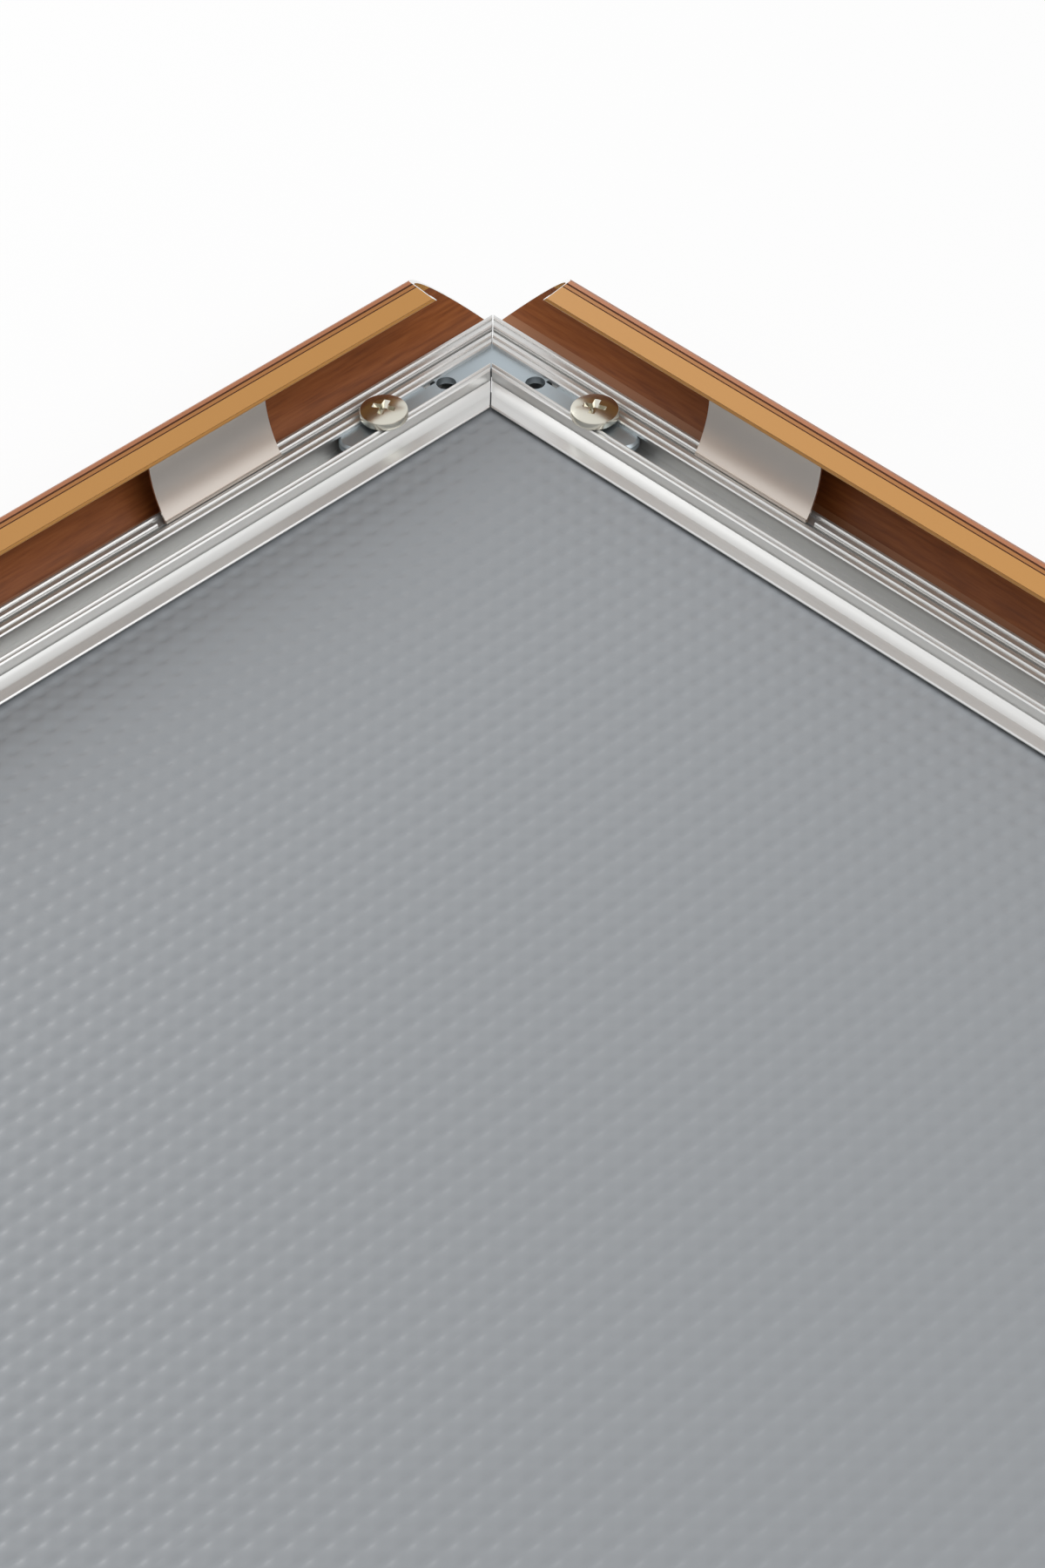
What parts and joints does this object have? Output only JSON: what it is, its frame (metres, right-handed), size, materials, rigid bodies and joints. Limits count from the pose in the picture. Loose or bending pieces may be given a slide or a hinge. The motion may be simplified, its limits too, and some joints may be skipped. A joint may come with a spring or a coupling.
{
  "type": "snap frame",
  "caption": "Wall poster frame with mitred rails whose wood-effect covers hinge outward on leaf springs, open to take a poster over an embossed back panel",
  "frame": {"origin": "middle of the frame's back, on the wall plane", "axes": "+X right, +Y up the wall with the frame in portrait, +Z out of the wall"},
  "size_m": [0.4728, 0.6468, 0.03],
  "materials": {
    "bare_aluminium": "bare mill-finish extrusion",
    "wood_film": "satin brown wood-grain film on an aluminium extrusion",
    "spring_steel": "satin spring steel",
    "zinc_plate": "zinc-plated pressed steel",
    "nickel_screw": "polished nickel-plated steel",
    "grey_sheet": "light grey sheet with a pattern of raised dots"
  },
  "bodies": {
    "frame": {"base_rail_bottom": "bare_aluminium", "base_rail_right": "bare_aluminium", "base_rail_top": "bare_aluminium", "base_rail_left": "bare_aluminium", "corner_plate_bottom_left": "zinc_plate", "corner_plate_bottom_right": "zinc_plate", "corner_plate_top_right": "zinc_plate", "corner_plate_top_left": "zinc_plate", "clamp_screw_bottom_left_1": "nickel_screw", "clamp_screw_bottom_left_2": "nickel_screw", "clamp_screw_bottom_right_1": "nickel_screw", "clamp_screw_bottom_right_2": "nickel_screw", "clamp_screw_top_right_1": "nickel_screw", "clamp_screw_top_right_2": "nickel_screw", "clamp_screw_top_left_1": "nickel_screw", "clamp_screw_top_left_2": "nickel_screw", "back_panel": "grey_sheet"},
    "cover_bottom": {"cover_rail_bottom": "wood_film"},
    "springs_bottom": {"leaf_spring_bottom_1": "spring_steel", "leaf_spring_bottom_2": "spring_steel"},
    "cover_right": {"cover_rail_right": "wood_film"},
    "springs_right": {"leaf_spring_right_1": "spring_steel", "leaf_spring_right_2": "spring_steel", "leaf_spring_right_3": "spring_steel"},
    "cover_top": {"cover_rail_top": "wood_film"},
    "springs_top": {"leaf_spring_top_1": "spring_steel", "leaf_spring_top_2": "spring_steel"},
    "cover_left": {"cover_rail_left": "wood_film"},
    "springs_left": {"leaf_spring_left_1": "spring_steel", "leaf_spring_left_2": "spring_steel", "leaf_spring_left_3": "spring_steel"}
  },
  "joints": [
    {"name": "cover_hinge_bottom", "type": "hinge", "parent": "frame", "child": "cover_bottom", "pos_m": [0, -0.3134, 0.0046], "axis": [-1, 0, 0], "range_deg": [0, 80]},
    {"name": "spring_pivot_bottom", "type": "hinge", "parent": "frame", "child": "springs_bottom", "pos_m": [0, -0.30987, 0.0079], "axis": [-1, 0, 0], "range_deg": [0, 96]},
    {"name": "cover_hinge_right", "type": "hinge", "parent": "frame", "child": "cover_right", "pos_m": [0.2264, 0, 0.0046], "axis": [0, -1, 0], "range_deg": [0, 80]},
    {"name": "spring_pivot_right", "type": "hinge", "parent": "frame", "child": "springs_right", "pos_m": [0.22287, 0, 0.0079], "axis": [0, -1, 0], "range_deg": [0, 96]},
    {"name": "cover_hinge_top", "type": "hinge", "parent": "frame", "child": "cover_top", "pos_m": [0, 0.3134, 0.0046], "axis": [1, 0, 0], "range_deg": [0, 80]},
    {"name": "spring_pivot_top", "type": "hinge", "parent": "frame", "child": "springs_top", "pos_m": [0, 0.30987, 0.0079], "axis": [1, 0, 0], "range_deg": [0, 96]},
    {"name": "cover_hinge_left", "type": "hinge", "parent": "frame", "child": "cover_left", "pos_m": [-0.2264, 0, 0.0046], "axis": [0, 1, 0], "range_deg": [0, 80]},
    {"name": "spring_pivot_left", "type": "hinge", "parent": "frame", "child": "springs_left", "pos_m": [-0.22287, 0, 0.0079], "axis": [0, 1, 0], "range_deg": [0, 96]}
  ],
  "couplings": [
    {"joint": "spring_pivot_bottom", "follows": "cover_hinge_bottom", "ratio": 1.2},
    {"joint": "spring_pivot_right", "follows": "cover_hinge_right", "ratio": 1.2},
    {"joint": "spring_pivot_top", "follows": "cover_hinge_top", "ratio": 1.2},
    {"joint": "spring_pivot_left", "follows": "cover_hinge_left", "ratio": 1.2}
  ]
}
